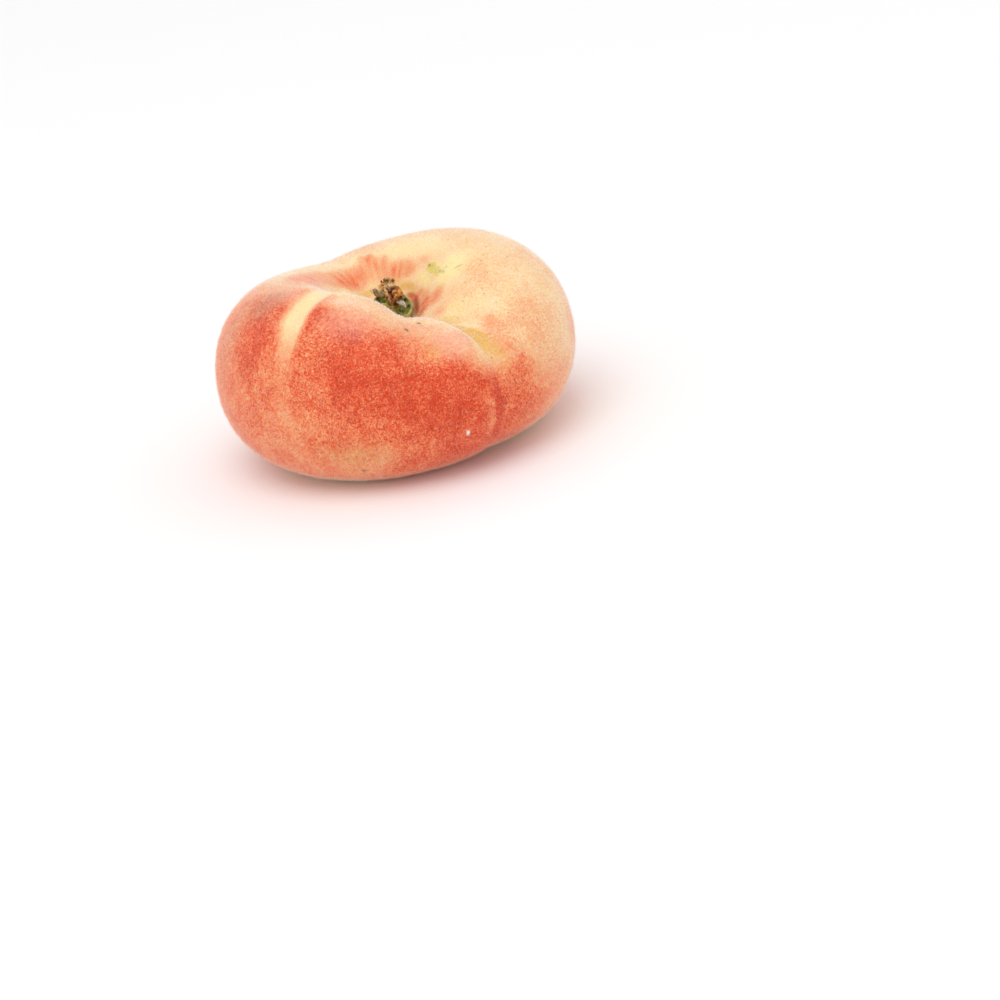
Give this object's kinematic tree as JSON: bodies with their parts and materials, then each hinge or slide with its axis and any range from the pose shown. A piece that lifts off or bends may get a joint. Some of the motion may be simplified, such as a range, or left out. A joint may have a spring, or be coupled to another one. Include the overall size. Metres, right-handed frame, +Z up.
{
  "type": "flat peach",
  "caption": "Whole flat peach with a deep stem basin, a suture groove, and a broken green stalk stub with torn wood and dried scales; rests on small flats.",
  "frame": {"origin": "centre of the fruit's footprint, on the surface it rests on", "axes": "+Z up the fruit's axis towards the stalk, -Y towards the suture, X across the two cheeks"},
  "size_m": [0.072, 0.0716, 0.0374],
  "materials": {
    "peach_skin": "fuzzy fruit skin, coral red blush over cream yellow",
    "green_stalk": "fresh green stalk tissue, damp and slightly glossy",
    "torn_wood": "torn brown twig wood, rough and dry",
    "dry_scale_grey": "dried bud scale, weathered grey",
    "dry_scale_pale": "dried bud scale, pale and papery",
    "dry_scale_tan": "dried bud scale, tan"
  },
  "bodies": {
    "root": {"fruit": "peach_skin", "stem": "green_stalk", "torn_wood": "torn_wood", "scale_grey": "dry_scale_grey", "scale_pale": "dry_scale_pale", "scale_tan": "dry_scale_tan"}
  },
  "joints": []
}
